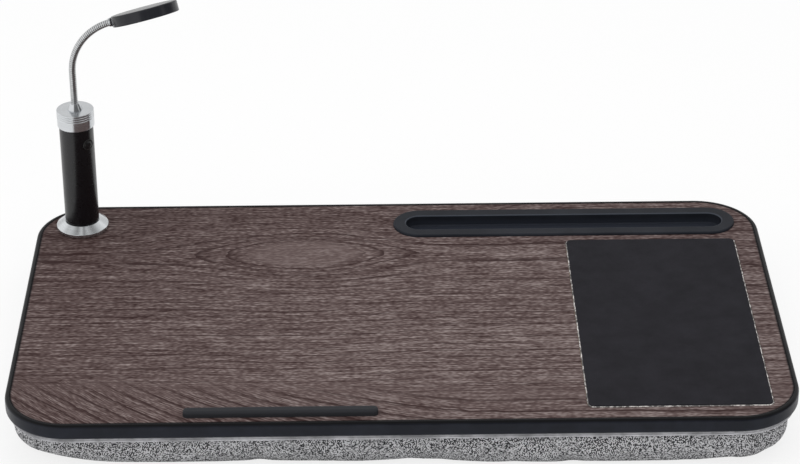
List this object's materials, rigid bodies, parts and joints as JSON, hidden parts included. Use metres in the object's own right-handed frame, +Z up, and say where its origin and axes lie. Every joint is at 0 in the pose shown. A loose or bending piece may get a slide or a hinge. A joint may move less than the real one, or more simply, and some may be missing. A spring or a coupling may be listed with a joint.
{
  "type": "lap desk",
  "caption": "Laminated lap desk on a fabric cushion, with a device slot, mouse pad, device ledge and a magnetic gooseneck battery lamp with a push button.",
  "frame": {"origin": "on the resting surface under the middle of the desk", "axes": "+X to the user's right along the desk's width, +Y to the back, +Z up"},
  "size_m": [0.536, 0.306, 0.2264],
  "materials": {
    "laminate": "satin",
    "fibreboard": "matte",
    "band_black": "satin",
    "tray_black": "satin",
    "pad_cloth": "matte",
    "pad_foam": "matte",
    "steel": "satin",
    "cover_fabric": "matte",
    "fill_foam": "matte",
    "piping_fabric": "matte",
    "turned_aluminium": "satin",
    "magnet": "satin",
    "grip_rubber": "matte",
    "barrel_black": "satin",
    "button_black": "matte",
    "holder_black": "matte",
    "cell_jacket": "gloss",
    "circuit": "satin",
    "contact_brass": "satin",
    "neck_chrome": "polished",
    "head_grey": "satin",
    "led_white": "satin",
    "lens_frost": "satin"
  },
  "bodies": {
    "desk": {"desk_board": "fibreboard", "top_laminate": "laminate", "under_laminate": "fibreboard", "edge_band": "band_black", "lamp_strike_plate": "steel", "slot_tray": "tray_black", "mouse_pad_base": "pad_foam", "mouse_pad": "pad_cloth", "device_ledge": "tray_black", "cushion_cover": "cover_fabric", "cushion_core": "fill_foam", "cushion_piping": "piping_fabric"},
    "lamp_foot": {"base_flange": "turned_aluminium", "base_magnet": "magnet", "base_grip": "grip_rubber"},
    "lamp_barrel": {"lamp_tube": "barrel_black", "tail_plug": "turned_aluminium", "button_bezel": "holder_black", "switch_board": "circuit", "foot_screw": "steel"},
    "button": {"push_button": "button_black"},
    "battery_pack": {"battery_holder": "holder_black", "battery_cells": "cell_jacket"},
    "lamp_cap": {"collar_cap": "turned_aluminium", "lower_ferrule": "turned_aluminium", "contact_stem": "contact_brass", "gooseneck_1": "neck_chrome"},
    "neck_link_2": {"gooseneck_2": "neck_chrome"},
    "neck_link_3": {"gooseneck_3": "neck_chrome"},
    "neck_link_4": {"gooseneck_4": "neck_chrome"},
    "neck_link_5": {"gooseneck_5": "neck_chrome"},
    "neck_link_6": {"gooseneck_6": "neck_chrome"},
    "lamp_head": {"gooseneck_7": "neck_chrome", "tip_ferrule": "turned_aluminium", "head_shell": "head_grey", "led_board": "circuit", "led_chips": "led_white", "head_lens": "lens_frost"}
  },
  "joints": [
    {"name": "lamp_lift", "type": "slide", "parent": "desk", "child": "lamp_foot", "axis": [0, 0, 1], "range_m": [0, 0.08]},
    {"name": "lamp_turn", "type": "hinge", "parent": "lamp_foot", "child": "lamp_barrel", "pos_m": [-0.2351, 0.1214, 0.0391], "axis": [0, 0, 1], "continuous": true},
    {"name": "button_press", "type": "slide", "parent": "lamp_barrel", "child": "button", "axis": [-0.7071, 0.7071, 0], "range_m": [0, 0.0006], "stiffness_N_per_m": 800, "springref_m": -0.0005},
    {"name": "battery_rise", "type": "slide", "parent": "lamp_barrel", "child": "battery_pack", "axis": [0, 0, 1], "range_m": [0, 0.0037]},
    {"name": "cap_unscrew", "type": "hinge", "parent": "battery_pack", "child": "lamp_cap", "pos_m": [-0.2351, 0.1214, 0.1237], "axis": [0, 0, 1], "range_deg": [0, 1080]},
    {"name": "neck_bend_1", "type": "hinge", "parent": "lamp_cap", "child": "neck_link_2", "pos_m": [-0.2351, 0.1214, 0.17164], "axis": [0, 1, 0], "range_deg": [-12.5, 10]},
    {"name": "neck_bend_2", "type": "hinge", "parent": "neck_link_2", "child": "neck_link_3", "pos_m": [-0.23318, 0.1214, 0.1803], "axis": [0, 1, 0], "range_deg": [-12.5, 10]},
    {"name": "neck_bend_3", "type": "hinge", "parent": "neck_link_3", "child": "neck_link_4", "pos_m": [-0.22943, 0.1214, 0.18834], "axis": [0, 1, 0], "range_deg": [-12.5, 10]},
    {"name": "neck_bend_4", "type": "hinge", "parent": "neck_link_4", "child": "neck_link_5", "pos_m": [-0.22403, 0.1214, 0.19537], "axis": [0, 1, 0], "range_deg": [-12.5, 10]},
    {"name": "neck_bend_5", "type": "hinge", "parent": "neck_link_5", "child": "neck_link_6", "pos_m": [-0.21724, 0.1214, 0.20108], "axis": [0, 1, 0], "range_deg": [-12.5, 10]},
    {"name": "neck_bend_6", "type": "hinge", "parent": "neck_link_6", "child": "lamp_head", "pos_m": [-0.20937, 0.1214, 0.20517], "axis": [0, 1, 0], "range_deg": [-12.5, 10]}
  ],
  "couplings": [
    {"joint": "cap_unscrew", "follows": "battery_rise", "rad_per_m": 5026.5}
  ]
}
